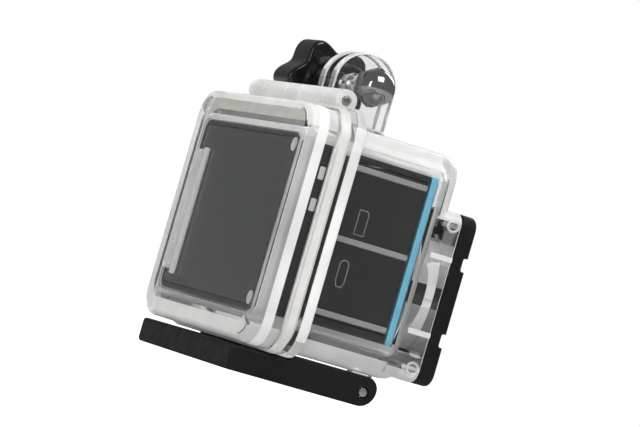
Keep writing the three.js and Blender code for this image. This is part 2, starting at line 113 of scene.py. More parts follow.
GAP = 0.3  # clearance between pieces that move past each other
OVER = 1.0  # how far a cutting shape goes past the face it opens
SHELL_X, SHELL_Y, SHELL_Z = (-33.0, 33.0), (-16.2, 10.0), (-26.0, 24.3)
CAVITY_X, CAVITY_Z = (-30.1, 30.1), (-21.1, 21.1)
CAVITY_FRONT, CAVITY_BACK = -14.0, 20.1
FLANGE_Y, FLANGE_Z, FLANGE_CORNER = (9.1, 11.5), (-27.2, 28.0), 7.0
DOOR_FLANGE_Y, DOOR_FLANGE_Z = (12.8, 15.2), (-27.2, 27.5)
BULGE_X, BULGE_Z = (-33.4, 33.4), (-26.6, 26.4)
DOOR_ROUND = 1.8
DOOR_BAND = (17.3, 19.6)  # depths of the band round the door, whitened as a painted highlight
RIM = 0.9  # width of the rim of both flanges, whitened as a painted highlight
SEAL_OUTER, SEAL_INNER = (33.4, 25.2), (31.2, 22.6)  # half widths and half heights
KNUCKLE, KNUCKLE_ROUND = 2.5, 0.35
HINGE_FOOT = 26.7  # the hinge is above this height
HINGE_BORE, LATCH_BORE = 1.2, 1.3
SHELL_KNUCKLES = ((-26.0, -18.0), (-4.0, 4.0), (18.0, 26.0))
DOOR_KNUCKLES = ((-17.7, -4.3), (4.3, 17.7))
EAR_GAP, EAR_THICK, EAR_RADIUS = 3.2, 3.0, 7.5
EAR_FOOT = SHELL_Z[1] - 1.5
PORT_BOX_Y, PORT_OPENING = (-19.0, -11.0), 13.0
NOTCH_Z, NOTCH_REACH, NOTCH_DEPTH, NOTCH_HALF_HEIGHT = 8.5, 3.1, 1.3, 1.5
SCREW_REACH, SCREW_HOLE = 16.6, 1.1
LUG_X = (21.7, 24.7)
ARM_INNER, ARM_BACK, PLATE_FRONT, PLATE_TOP = 25.0, 8.7, 4.0, -27.6
BOLT_HOLE = 2.7
LOCK_TRAVEL = 3.0
CASE_WALL, TRIM_WALL = 1.5, 1.3
LINK_X, LINK_Z = (-7.3, 7.3), (-3.3, 3.3)  # hole for the plug between camera and screen module
KEY, KEY_HOLE = 3.0, 3.3
BEZEL_BORE = 8.4
STATUS_LIGHT = (19, 0, 14)

# Push buttons. The wall is the housing's outer face, the face is the camera button's, and the cap
# is how far the housing's button stands out of the wall.
PRESS = 0.6  # travel of a push button
STEM, STEM_BORE, CLIP_BORE, CAP_BORE = 1.2, 1.6, 2.5, 4.7
CAP_OUTER, CAP_INNER, CAP_LID = 4.4, 3.7, 1.1
SPRING_RADIUS, SPRING_WIRE = 3.05, 0.5
BUTTONS = {
    "shutter": {"along": "z", "sign": -1, "wall": 26.0, "face": 20.5, "cap": 5.6, "at": (14.0, -4.0, 0.0)},
    "power": {"along": "y", "sign": -1, "wall": 16.2, "face": 12.8, "cap": 3.8, "at": (19.0, 0.0, 6.0)},
    "side": {"along": "x", "sign": 1, "wall": 31.8, "face": 29.5, "cap": 3.2, "at": (0.0, -2.0, 3.0)},
}


# Mesh code -----------------------------------------------------------------------------------


def order(along):
    """The index of an axis, and of the two that follow it in the order x, y, z, x, y."""
    w = "xyz".index(along)
    return w, (w + 1) % 3, (w + 2) % 3


def make(name, bm):
    """A mesh object from a bmesh whose vertices are in millimetres from the camera's middle."""
    for vertex in bm.verts:
        vertex.co = (vertex.co + Vector((0, 0, LIFT))) * MM
    bmesh.ops.recalc_face_normals(bm, faces=bm.faces)
    mesh = bpy.data.meshes.new(name)
    bm.to_mesh(mesh)
    bm.free()
    piece = bpy.data.objects.new(name, mesh)
    bpy.context.scene.collection.objects.link(piece)
    return piece


def skin(bm, rings, closed=False):
    """Faces between rings of vertices. A ring of one vertex is a tip."""
    pairs = list(zip(rings, rings[1:] + rings[:1])) if closed else list(zip(rings, rings[1:]))
    for low, high in pairs:
        count = max(len(low), len(high))
        for i in range(count):
            j = (i + 1) % count
            corners = [low[i % len(low)], low[j % len(low)], high[j % len(high)], high[i % len(high)]]
            face = list(dict.fromkeys(corners))
            if len(face) > 2:
                bm.faces.new(face)


def rounded(u, v, radius, steps=7):
    """The outline of a rectangle with round corners, as a function of how far it is pulled in.

    The radius is one number, or one for each corner: high u and low v, both high, low u and high v,
    both low.
    """
    radii = radius if isinstance(radius, (list, tuple)) else (radius,) * 4
    corners = ((1, 0, -90), (1, 1, 0), (0, 1, 90), (0, 0, 180))

    def outline(inset):
        points = []
        for (iu, iv, start), full in zip(corners, radii):
            r = max(full - inset, 0.03)
            cu = u[iu] + (inset + r) * (1 - 2 * iu)
            cv = v[iv] + (inset + r) * (1 - 2 * iv)
            for i in range(steps + 1):
                angle = math.radians(start + 90 * i / steps)
                points.append((cu + r * math.cos(angle), cv + r * math.sin(angle)))
        return points

    return outline


def rounded_end(end, inwards, fillet, steps):
    """How far the outline is pulled in, and the height, at each step from a prism's end inwards."""
    if not fillet:
        return [(0, end)]
    angles = [math.pi / 2 * i / steps for i in range(steps + 1)]
    return [(fillet * (1 - math.sin(a)), end + inwards * fillet * (1 - math.cos(a))) for a in angles]


def prism(name, outline, along, limits, fillet=(0.0, 0.0), steps=5, rings_at=()):
    """An outline pushed along an axis, with its two ends rounded off and edges at some heights."""
    w, u, v = order(along)
    bm = bmesh.new()
    levels = rounded_end(limits[0], 1, fillet[0], steps)
    levels += [(0, height) for height in rings_at]
    levels += rounded_end(limits[1], -1, fillet[1], steps)[::-1]
    rings = []
    for inset, height in levels:
        ring = []
        for a, b in outline(inset):
            point = [0.0, 0.0, 0.0]
            point[w], point[u], point[v] = height, a, b
            ring.append(bm.verts.new(point))
        rings.append(ring)
    skin(bm, rings)
    bm.faces.new(rings[0])
    bm.faces.new(rings[-1])
    return make(name, bm)


def slab(name, x, y, z, corner=0.05, along="y", fillet=(0.0, 0.0), steps=7, rings_at=()):
    """A box between limits on each axis, with round corners about one axis."""
    limits = (x, y, z)
    w, u, v = order(along)
    outline = rounded(limits[u], limits[v], corner, steps)
    return prism(name, outline, along, limits[w], fillet, rings_at=rings_at)


def lathe(name, profile, along, centre, segments=64):
    """A profile of (radius, height) points turned about an axis. It ends on the axis or meets itself."""
    w, u, v = order(along)
    bm = bmesh.new()
    closed = profile[0] == profile[-1]
    rings = []
    for radius, height in profile[:-1] if closed else profile:
        ring = []
        for i in range(segments if radius > 1e-6 else 1):
            angle = 2 * math.pi * i / segments
            point = list(centre)
            point[w] += height
            point[u] += radius * math.cos(angle)
            point[v] += radius * math.sin(angle)
            ring.append(bm.verts.new(point))
        rings.append(ring)
    skin(bm, rings, closed)
    return make(name, bm)


def arc(centre, radius, start, end, steps=5):
    """Points along a circle between two angles in degrees."""
    points = []
    for i in range(steps + 1):
        angle = math.radians(start + (end - start) * i / steps)
        points.append((centre[0] + radius * math.cos(angle), centre[1] + radius * math.sin(angle)))
    return points


def ring_profile(radius, height, half_thickness, steps):
    """The closed round profile of an o-ring."""
    profile = arc((radius, height), half_thickness, 0, 360, steps)
    return profile[:-1] + profile[:1]


def rod(name, radius, along, limits, centre, round_off=0.0, segments=48):
    """A plain round rod, its ends rounded off."""
    low, high = limits
    r = round_off
    start = arc((radius - r, low + r), r, -90, 0) if r else [(radius, low)]
    end = arc((radius - r, high - r), r, 0, 90) if r else [(radius, high)]
    return lathe(name, [(0, low)] + start + end + [(0, high)], along, centre, segments)


def remove(piece):
    mesh = piece.data
    bpy.data.objects.remove(piece)
    bpy.data.meshes.remove(mesh)


def bake_modifiers(piece):
    """Keeps what a piece's modifiers made of it, and drops them."""
    depsgraph = bpy.context.evaluated_depsgraph_get()
    made = bpy.data.meshes.new_from_object(piece.evaluated_get(depsgraph))
    old = piece.data
    piece.modifiers.clear()
    piece.data = made
    bpy.data.meshes.remove(old)


def combine(base, operation, *others):
    """Adds, cuts away or intersects other pieces one after another, and removes them."""
    for other in others:
        modifier = base.modifiers.new("combine", "BOOLEAN")
        modifier.operation = operation
        modifier.object = other
        modifier.solver = "EXACT"
        bake_modifiers(base)
        remove(other)
    return base


def cut(base, *others):
    return combine(base, "DIFFERENCE", *others)


def join(base, *others):
    return combine(base, "UNION", *others)


def stroke(name, points, radius, closed=True, sides=2):
    """A thin round line through points."""
    curve = bpy.data.curves.new(name, "CURVE")
    curve.dimensions = "3D"
    curve.bevel_depth = radius * MM
    curve.bevel_resolution = sides
    curve.use_fill_caps = not closed
    line = curve.splines.new("POLY")
    line.points.add(len(points) - 1)
    for target, (x, y, z) in zip(line.points, points):
        target.co = (x * MM, y * MM, (z + LIFT) * MM, 1)
    line.use_cyclic_u = closed
    piece = bpy.data.objects.new(name, curve)
    bpy.context.scene.collection.objects.link(piece)
    return piece


def place(piece, body, slot_name, material, *nodes, angle=32, others=(), choose=None):
    """Gives a piece its material and body, smooth shading, and the CAD nodes it stands for. The slot name is
    not used.

    Where a piece has other materials, choose() picks one for each face from the face's middle and
    its normal: 0 is the first material.
    """
    if piece.type == "MESH":
        mesh = piece.data
        mesh.materials.clear()
        for finish in (material, *others):
            mesh.materials.append(finish)
        for face in mesh.polygons:
            face.use_smooth = True
            if choose:
                face.material_index = choose(face.center / MM - Vector((0, 0, LIFT)), face.normal)
        mesh.set_sharp_from_angle(angle=math.radians(angle))
        normals = piece.modifiers.new("normals", "WEIGHTED_NORMAL")
        normals.keep_sharp = True
    else:
        piece.data.materials.append(material)
    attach(piece, body)
    if nodes:
        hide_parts(*nodes)
    return piece


# Materials -----------------------------------------------------------------------------------


class Nodes:
    """A new material with short ways to add its nodes. Scales are per millimetre."""

    def __init__(self, name):
        self.material = bpy.data.materials.new(name)
        self.material.use_nodes = True
        self.tree = self.material.node_tree
        self.tree.nodes.clear()
        self.output = self.add("ShaderNodeOutputMaterial")
        self.bsdf = self.add("ShaderNodeBsdfPrincipled")
        self.link(self.bsdf.outputs[0], self.output.inputs["Surface"])
        self.where = self.add("ShaderNodeTexCoord").outputs["Object"]

    def add(self, kind, **settings):
        node = self.tree.nodes.new(kind)
        for key, value in settings.items():
            if key.startswith("set_"):
                setattr(node, key[4:], value)
            else:
                node.inputs[key.replace("_", " ")].default_value = value
        return node

    def link(self, out, into):
        self.tree.links.new(out, into)

    def noise(self, per_mm, detail=3.0, roughness=0.55):
        node = self.add("ShaderNodeTexNoise", Scale=per_mm / MM, Detail=detail, Roughness=roughness)
        self.link(self.where, node.inputs["Vector"])
        return node.outputs["Fac"]

    def ramp(self, factor, low, high, start=0.3, end=0.7):
        """A number or a colour that goes from low to high as the factor goes from start to end."""
        if isinstance(low, tuple):
            node = self.add("ShaderNodeValToRGB")
            first, last = node.color_ramp.elements
            first.position, last.position = start, end
            first.color, last.color = (*low, 1), (*high, 1)
            self.link(factor, node.inputs["Fac"])
            return node.outputs["Color"]
        node = self.add("ShaderNodeMapRange")
        for key, value in (("From Min", start), ("From Max", end), ("To Min", low), ("To Max", high)):
            node.inputs[key].default_value = value
        self.link(factor, node.inputs["Value"])
        return node.outputs["Result"]

    def mix(self, factor, first, second):
        node = self.add("ShaderNodeMix", set_data_type="RGBA")
        self.link(factor, node.inputs["Factor"])
        for source, socket in ((first, node.inputs[6]), (second, node.inputs[7])):
            if isinstance(source, tuple):
                socket.default_value = (*source, 1)
            else:
                self.link(source, socket)
        return node.outputs[2]

    def mix_shader(self, factor, first, second):
        node = self.add("ShaderNodeMixShader")
        for i, source in enumerate((factor, first, second)):
            self.link(source, node.inputs[i])
        return node.outputs[0]

    def bump(self, height, strength, distance):
        node = self.add("ShaderNodeBump", Strength=strength, Distance=distance * MM)
        self.link(height, node.inputs["Height"])
        self.link(node.outputs["Normal"], self.bsdf.inputs["Normal"])

    def edges(self, radius):
        """A mask of the edges, by how far a rounded normal leans from the plain one."""
        bevel = self.add("ShaderNodeBevel", set_samples=4, Radius=radius * MM)
        plain = self.add("ShaderNodeNewGeometry")
        dot = self.add("ShaderNodeVectorMath", set_operation="DOT_PRODUCT")
        self.link(bevel.outputs["Normal"], dot.inputs[0])
        self.link(plain.outputs["Normal"], dot.inputs[1])
        return self.ramp(dot.outputs["Value"], 1.0, 0.0, 0.8, 0.99)


def moulded(name, colour, lighter, rough, grain, depth, edge_wear_and_highlight=0.0, coat=0.0, patch=0.08, shine=0.5):
    """Moulded plastic: uneven colour and gloss, a fine grain, and paler edges, partly scuffs and partly a
    painted highlight.

    The grain and the patches of colour are noise scales per millimetre. The depth is the bump's
    strength and its distance in millimetres.
    """
    n = Nodes(name)
    base = n.ramp(n.noise(patch, 4.0), colour, lighter)
    if edge_wear_and_highlight:
        # The paler edges are partly scuffs and partly a painted highlight.
        worn_and_highlit = tuple(min(1.0, c * 2.2 + 0.03) for c in lighter)
        edge_patches = n.ramp(n.noise(1.1, 5.0), 0.0, edge_wear_and_highlight, 0.42, 0.72)
        mask = n.add("ShaderNodeMath", set_operation="MULTIPLY")
        n.link(n.edges(0.35), mask.inputs[0])
        n.link(edge_patches, mask.inputs[1])
        base = n.mix(mask.outputs[0], base, worn_and_highlit)
    n.link(base, n.bsdf.inputs["Base Color"])
    n.link(n.ramp(n.noise(0.35, 5.0), rough[0], rough[1]), n.bsdf.inputs["Roughness"])
    n.bump(n.noise(grain, 2.0), depth[0], depth[1])
    n.bsdf.inputs["Specular IOR Level"].default_value = shine
    n.bsdf.inputs["Coat Weight"].default_value = coat
    n.bsdf.inputs["Coat Roughness"].default_value = 0.06
    return n.material


def see_through(name, tint, rough, ior=1.5, haze_and_highlight=0.0, ripple=0.02):
    """Clear plastic or glass: it refracts what is behind it, and lets the lamps' light through."""
    n = Nodes(name)
    n.bsdf.inputs["Base Color"].default_value = (*tint, 1)
    n.bsdf.inputs["Transmission Weight"].default_value = 1.0
    n.bsdf.inputs["IOR"].default_value = ior
    n.link(n.ramp(n.noise(0.25, 4.0), rough[0], rough[1]), n.bsdf.inputs["Roughness"])
    n.bump(n.noise(0.12, 2.0), ripple, 0.4)
    surface = n.bsdf.outputs[0]
    # A white diffuse mix: a trace on the plain clear faces, and a painted highlight on the whiter kinds.
    if haze_and_highlight:
        white_diffuse = n.add("ShaderNodeBsdfDiffuse", Color=(0.9, 0.9, 0.89, 1))
        amount = n.ramp(n.noise(0.06, 2.0), haze_and_highlight * 0.8, haze_and_highlight * 1.15)
        surface = n.mix_shader(amount, surface, white_diffuse.outputs[0])
    clear = n.add("ShaderNodeBsdfTransparent", Color=(*tint, 1))
    ray = n.add("ShaderNodeLightPath")
    chosen = n.mix_shader(ray.outputs["Is Shadow Ray"], surface, clear.outputs[0])
    n.link(chosen, n.output.inputs["Surface"])
    return n.material


def metal(name, colour, lighter, rough, brushed=None):
    """Metal with uneven gloss. Brushed metal has fine lines, by a scale of its grain on each axis."""
    n = Nodes(name)
    n.bsdf.inputs["Metallic"].default_value = 1.0
    n.link(n.ramp(n.noise(0.4, 4.0), colour, lighter), n.bsdf.inputs["Base Color"])
    if brushed:
        stretch = n.add("ShaderNodeMapping")
        stretch.inputs["Scale"].default_value = brushed
        n.link(n.where, stretch.inputs["Vector"])
        lines = n.add("ShaderNodeTexNoise", Scale=4.0 / MM, Detail=2.0)
        n.link(stretch.outputs["Vector"], lines.inputs["Vector"])
        n.link(n.ramp(lines.outputs["Fac"], rough[0], rough[1]), n.bsdf.inputs["Roughness"])
        n.bump(lines.outputs["Fac"], 0.12, 0.02)
    else:
        n.link(n.ramp(n.noise(0.8, 5.0), rough[0], rough[1]), n.bsdf.inputs["Roughness"])
        n.bump(n.noise(2.0, 3.0), 0.04, 0.02)
    return n.material


def silicone(name, colour, lighter):
    """Soft milky rubber that lets a little light in."""
    n = Nodes(name)
    n.link(n.ramp(n.noise(0.3, 3.0), colour, lighter), n.bsdf.inputs["Base Color"])
    n.link(n.ramp(n.noise(0.7, 3.0), 0.42, 0.58), n.bsdf.inputs["Roughness"])
    n.bsdf.inputs["Subsurface Weight"].default_value = 0.35
    n.bsdf.inputs["Subsurface Scale"].default_value = 1.2 * MM
    n.bump(n.noise(3.0, 2.0), 0.1, 0.03)
    return n.material


def circuit(name):
    """Green board with paler copper tracks under its mask."""
    n = Nodes(name)
    tracks = n.add("ShaderNodeTexBrick", Scale=0.55 / MM, Mortar_Size=0.06)
    tracks.inputs["Color1"].default_value = (0.012, 0.09, 0.045, 1)
    tracks.inputs["Color2"].default_value = (0.016, 0.11, 0.05, 1)
    tracks.inputs["Mortar"].default_value = (0.04, 0.2, 0.1, 1)
    n.link(n.where, tracks.inputs["Vector"])
    n.link(tracks.outputs["Color"], n.bsdf.inputs["Base Color"])
    n.link(n.ramp(n.noise(0.5, 3.0), 0.3, 0.45), n.bsdf.inputs["Roughness"])
    n.bump(tracks.outputs["Fac"], 0.2, 0.03)
    return n.material


CLEAR = see_through("clear_polycarbonate", (0.97, 0.975, 0.975), (0.02, 0.06), haze_and_highlight=0.004)
# The whiter kinds mix in more white diffuse: on the roundings, rims, band, hinge and cavity faces of the
# shell and door they are a painted highlight for the light that the thick clear walls refract.
CLEAR_SLIGHT_DIFFUSE_AND_HIGHLIGHT = see_through("clear_slight_diffuse_and_highlight", (0.97, 0.975, 0.97), (0.08, 0.14), haze_and_highlight=0.3)
CLEAR_DIFFUSE_AND_HIGHLIGHT = see_through("clear_diffuse_and_highlight", (0.97, 0.97, 0.965), (0.12, 0.22), haze_and_highlight=0.52)
CLEAR_DENSE_DIFFUSE_AND_HIGHLIGHT = see_through("clear_dense_diffuse_and_highlight", (0.96, 0.965, 0.96), (0.3, 0.4), haze_and_highlight=0.88)
CLEAR_KINDS = (CLEAR_SLIGHT_DIFFUSE_AND_HIGHLIGHT, CLEAR_DIFFUSE_AND_HIGHLIGHT, CLEAR_DENSE_DIFFUSE_AND_HIGHLIGHT)
PLAIN, SLIGHT_HIGHLIGHT, MID_HIGHLIGHT, STRONG_HIGHLIGHT = range(4)  # a face's material: CLEAR, or one of CLEAR_KINDS in their order
GLASS = see_through("port_glass", (0.96, 0.98, 0.98), (0.0, 0.02), ior=1.52, ripple=0.0)
# A whiter pad inside the window by the far wall: a painted highlight.
CLEAR_PAD_HIGHLIGHT = see_through("clear_pad_highlight", (0.97, 0.97, 0.965), (0.2, 0.3), haze_and_highlight=0.7)
MATTE = moulded(
    "matte_black", (0.005, 0.005, 0.005), (0.009, 0.009, 0.0088), (0.42, 0.6),
    grain=5.0, depth=(0.35, 0.05), edge_wear_and_highlight=0.5, shine=0.3,
)
GLOSS = moulded(
    "gloss_black", (0.004, 0.004, 0.004), (0.007, 0.007, 0.007), (0.14, 0.26),
    grain=1.2, depth=(0.06, 0.04), edge_wear_and_highlight=0.3, coat=0.3,
)
CHARCOAL = moulded(
    "charcoal", (0.012, 0.012, 0.013), (0.018, 0.0185, 0.019), (0.4, 0.55),
    grain=4.0, depth=(0.25, 0.03), edge_wear_and_highlight=0.15, shine=0.3,
)
RIB = moulded("rib_grey", (0.28, 0.28, 0.28), (0.36, 0.36, 0.355), (0.35, 0.5), 3.0, (0.2, 0.03))
GREY = moulded("lock_grey", (0.1, 0.1, 0.1), (0.14, 0.14, 0.14), (0.4, 0.55), 4.0, (0.3, 0.04), edge_wear_and_highlight=0.3)
PRINT = moulded("printed_mark", (0.26, 0.26, 0.26), (0.34, 0.34, 0.34), (0.4, 0.5), 3.0, (0.1, 0.02))
PALE = moulded("pale_mark", (0.7, 0.7, 0.69), (0.8, 0.8, 0.79), (0.4, 0.5), 3.0, (0.1, 0.02))
BLUE = moulded("blue_trim", (0.15, 0.52, 0.72), (0.22, 0.6, 0.78), (0.22, 0.34), 3.0, (0.08, 0.02), coat=0.3)
SCREEN = moulded(
    "screen_black", (0.014, 0.016, 0.017), (0.028, 0.03, 0.031), (0.12, 0.2),
    grain=0.5, depth=(0.01, 0.005), coat=0.5, patch=0.03,
)
RUBBER = moulded("black_rubber", (0.01, 0.01, 0.01), (0.016, 0.016, 0.016), (0.7, 0.85), 6.0, (0.4, 0.04))
CELL = moulded("cell_wrap", (0.03, 0.034, 0.045), (0.05, 0.055, 0.07), (0.35, 0.5), 1.5, (0.1, 0.03))
SILICONE = silicone("seal_silicone", (0.66, 0.64, 0.59), (0.76, 0.74, 0.69))
CHROME = metal("chrome", (0.47, 0.47, 0.465), (0.55, 0.55, 0.545), (0.05, 0.14))
STEEL = metal("steel", (0.46, 0.46, 0.45), (0.58, 0.58, 0.57), (0.2, 0.38), brushed=(0.2, 1.0, 1.0))
BOARD = circuit("board_green")


# The housing ---------------------------------------------------------------------------------


def ear_outline(inset):
    """A mounting ear seen from the side: a half circle on a straight shank."""
    r = EAR_RADIUS - inset
    return [(r, EAR_FOOT)] + arc((0, BOLT_Z), r, 0, 180, 28) + [(-r, EAR_FOOT)]


def outward(button, low, high):
    """Limits along a button's axis, measured outwards from the camera's middle."""
    return (low, high) if button["sign"] > 0 else (-high, -low)


def button_bores():
    """Each button has a bore for its clip, a narrow one for its stem, and a seat for its cap."""
    bores = []
    for button in BUTTONS.values():
        along, at, wall, face = button["along"], button["at"], button["wall"], button["face"]
        bores.append(rod("bore", CLIP_BORE, along, outward(button, face - OVER, face + 1.6), at))
        bores.append(rod("bore", STEM_BORE, along, outward(button, face, wall + 3), at))
        bores.append(rod("bore", CAP_BORE, along, outward(button, wall, wall + 3), at))
    return bores


def screw_places():
    return [
        (LENS[0] + i * SCREW_REACH, 0.0, LENS[1] + k * SCREW_REACH)
        for i, k in ((-1, -1), (1, -1), (1, 1), (-1, 1))
    ]


def askew(normal):
    """True on a rounding, where the normal follows none of the axes."""
    return max(abs(part) for part in normal) < 0.985


def at_hinge(at):
    return at.z > HINGE_FOOT and at.y > FLANGE_Y[0] - 1


def shell_highlight_faces(at, normal):
    """Painted highlight: the flange's rim is whitest, roundings and the hinge whiter, the cavity's floor and
    ceiling a little whiter.
    """
    rim = abs(at.x) > DOOR_X[1] - RIM or at.z < FLANGE_Z[0] + RIM
    inner = abs(normal.z) > 0.9 and abs(at.z) < CAVITY_Z[1] + 0.2
    if rim and FLANGE_Y[0] < at.y < FLANGE_Y[1]:
        return STRONG_HIGHLIGHT
    if askew(normal) or at_hinge(at):
        return MID_HIGHLIGHT
    return SLIGHT_HIGHLIGHT if inner else PLAIN


def door_highlight_faces(at, normal):
    """Painted highlight: the cavity's floor and ceiling, and a band round the sides, are whitest.

    The roundings, the hinge, the flange's rim, the window's frame and the far wall are whiter, except
    that the -X side is plain behind the band.
    """
    side = abs(normal.y) < 0.1
    inner = abs(normal.z) > 0.9 and abs(at.z) < CAVITY_Z[1] + 0.9
    if inner or (side and DOOR_BAND[0] < at.y < DOOR_BAND[1]):
        return STRONG_HIGHLIGHT
    if abs(normal.z) < 0.2 and at.x < 0 and at.y > DOOR_BAND[1]:
        return PLAIN
    frame_face = at.y > DOOR_Y[1] - 0.1
    rim = at.y < DOOR_FLANGE_Y[1] and (abs(at.x) > DOOR_X[1] - RIM or at.z < DOOR_FLANGE_Z[0] + RIM)
    far_wall = normal.x < -0.9 and at.x > 0
    return MID_HIGHLIGHT if askew(normal) or frame_face or rim or far_wall or at_hinge(at) else PLAIN


def knuckle_rooms(hinge, knuckles):
    """Room for the other half's knuckles."""
    return [rod("part", KNUCKLE + GAP, "x", grown(ends, GAP), hinge) for ends in knuckles]


def mounting_ears():
    """A pad on the shell, and the two ears on it."""
    ears = [slab("part", (-6.2, 6.2), about(0, EAR_RADIUS), (EAR_FOOT, 26.5), 1.5, "z", (0.0, 0.7))]
    for side in (-1, 1):
        ends = sorted((side * EAR_GAP / 2, side * (EAR_GAP / 2 + EAR_THICK)))
        ears.append(prism("part", ear_outline, "x", ends, (0.5, 0.5)))
    return ears


def latch_lugs():
    """The two lugs under the shell that hold the latch's pins."""
    reach = about(LATCH_PIN[0], KNUCKLE)
    outline = rounded(reach, (LATCH_PIN[1] - 2.6, -23.5), (2.4, 0.1, 0.1, 2.4))
    lugs = []
    for side in (-1, 1):
        ends = sorted((side * LUG_X[0], side * LUG_X[1]))
        lugs.append(prism("part", outline, "x", ends, (0.3, 0.3)))
    return lugs


def housing_shell():
    centre = (LENS[0], 0, LENS[1])
    hinge = (0, *HINGE)
    shell = slab("housing_clear", SHELL_X, SHELL_Y, SHELL_Z, 5.0, fillet=(4.2, 0.0))
    join(
        shell,
        slab("part", DOOR_X, FLANGE_Y, FLANGE_Z, FLANGE_CORNER, fillet=(0.7, 0.4)),
        slab("part", PORT_X, PORT_BOX_Y, PORT_Z, 3.0, fillet=(0.5, 0.0)),
    )
    cavity_y = (CAVITY_FRONT, FLANGE_Y[1] + OVER)
    cut(
        shell,
        slab("part", CAVITY_X, cavity_y, CAVITY_Z, 3.0, fillet=(2.4, 0.0)),
        rod("part", PORT_OPENING - 0.7, "y", (-20, -13), centre, segments=96),
        *(rod("part", SCREW_HOLE, "y", (-20, -14.8), at, segments=24) for at in screw_places()),
        *button_bores(),
        *knuckle_rooms(hinge, DOOR_KNUCKLES),
    )
    join(shell, *mounting_ears())
    join(shell, *(rod("part", KNUCKLE, "x", ends, hinge, KNUCKLE_ROUND) for ends in SHELL_KNUCKLES))
    join(shell, *latch_lugs())
    cut(
        shell,
        rod("part", BOLT_HOLE, "x", (-15, 15), (0, 0, BOLT_Z)),
        rod("part", HINGE_BORE, "x", (-40, 40), hinge, segments=32),
        rod("part", LATCH_BORE, "x", (-26, 26), (0, *LATCH_PIN), segments=32),
    )
    place(shell, "housing", "clear", CLEAR, "housing_shell", others=CLEAR_KINDS, choose=shell_highlight_faces)


def seal_ring(name, y, wider=0.0, fillet=0.0):
    """A flat ring in the joint of the door, wider or narrower by an amount on each side."""
    outer_x, outer_z = (about(0, reach + wider) for reach in SEAL_OUTER)
    inner_x, inner_z = (about(0, reach - wider) for reach in SEAL_INNER)
    ring = slab(name, outer_x, y, outer_z, 5.0, fillet=(fillet, fillet))
    return cut(ring, slab("part", inner_x, grown(y, OVER), inner_z, 3.0))


def back_door():
    hinge = (0, *HINGE)
    front, back = DOOR_FLANGE_Y[0], DOOR_Y[1]
    door = slab(
        "door_clear", BULGE_X, (front, back), BULGE_Z, 6.0, fillet=(0.0, DOOR_ROUND), rings_at=DOOR_BAND
    )
    join(door, slab("part", DOOR_X, DOOR_FLANGE_Y, DOOR_FLANGE_Z, FLANGE_CORNER, fillet=(0.4, 0.7)))
    inner_z = (CAVITY_Z[0] - 0.5, CAVITY_Z[1])
    cut(
        door,
        slab("part", CAVITY_X, (front - OVER, CAVITY_BACK), inner_z, 3.0, fillet=(0.0, 2.0)),
        slab("part", (-29.6, 29.6), (back - 0.2, back + OVER), (-22.4, 22.2), 4.0),
        seal_ring("part", (front - OVER, span("door_seal", Y)[1] + GAP), GAP),
        *knuckle_rooms(hinge, SHELL_KNUCKLES),
    )
    for ends in DOOR_KNUCKLES:
        web = slab("part", ends, (front, HINGE[0] + KNUCKLE), (26.0, HINGE[1]), 0.2, "x")
        join(door, rod("part", KNUCKLE, "x", ends, hinge, KNUCKLE_ROUND), web)
    cut(door, rod("part", HINGE_BORE, "x", (-40, 40), hinge, segments=32))
    place(door, "back_door", "clear", CLEAR, "back_door", others=CLEAR_KINDS, choose=door_highlight_faces)

    seal = seal_ring("door_gasket", span("door_seal", Y), fillet=0.3)
    place(seal, "back_door", "silicone", SILICONE, "door_seal")

    # Inside the window a whiter strip and a whiter pad beside it are a painted highlight by the far wall,
    # and two small pads steady the screen.
    inside = (CAVITY_BACK - 0.4, CAVITY_BACK + 0.2)
    strip = slab("window_strip", (21.2, 24.0), inside, (-16.5, 13.0), 0.4, fillet=(0.2, 0.0))
    place(strip, "back_door", "clear", CLEAR_DENSE_DIFFUSE_AND_HIGHLIGHT)
    pad = slab("window_side_pad", (24.2, 29.4), inside, (-15.5, 12.5), 0.6, fillet=(0.2, 0.0))
    place(pad, "back_door", "clear", CLEAR_PAD_HIGHLIGHT)
    for i, z in enumerate((17.0, -17.0), 1):
        pad = rod(f"window_pad_{i}", 1.5, "y", inside, (-26.9, 0, z), 0.15)
        place(pad, "back_door", "clear", CLEAR_DIFFUSE_AND_HIGHLIGHT)


def port_frame():
    """The black frame, with a pocket for the glass, a bevelled opening, and notches at its sides."""
    centre = (LENS[0], 0, LENS[1])
    front = PORT_Y[0]
    frame_body = slab("port_frame_black", PORT_X, PORT_Y, PORT_Z, 3.0, fillet=(0.9, 0.2))
    bevelled = [
        (0, front - OVER), (14.6, front - OVER), (PORT_OPENING, front + 0.6), (PORT_OPENING, -19), (0, -19),
    ]
    cut(
        frame_body,
        slab("part", about(LENS[0], 15.8), (-22.1, -18), about(LENS[1], 15.8), 5.0),
        lathe("part", bevelled, "y", centre, 96),
        *(rod("part", 1.8, "y", (front - OVER, -21.7), at) for at in screw_places()),
        *(rod("part", SCREW_HOLE, "y", (front - OVER, -18), at, segments=24) for at in screw_places()),
    )
    for side in PORT_X:
        for k in (-1, 1):
            z = about(LENS[1] + NOTCH_Z * k, NOTCH_HALF_HEIGHT)
            notch_y = (front - OVER, front + NOTCH_DEPTH)
            cut(frame_body, slab("part", about(side, NOTCH_REACH), notch_y, z, 0.5, "x"))
    place(frame_body, "housing", "matte_black", MATTE, "port_frame")


def port_screws():
    head = [(0, -22.6)] + arc((1.2, -22.3), 0.3, -90, 0)
    head += [(1.5, -22.0), (0.8, -22.0), (0.8, -15.1), (0, -15.1)]
    for i, at in enumerate(screw_places(), 1):
        screw = lathe(f"port_screw_turned_{i}", head, "y", at, 32)
        for wide, tall in ((1.0, 0.16), (0.16, 1.0)):
            cut(screw, slab("part", about(at[0], wide), (-23, -22.2), about(at[2], tall)))
        place(screw, "housing", "steel", STEEL, f"port_screw_{i}")


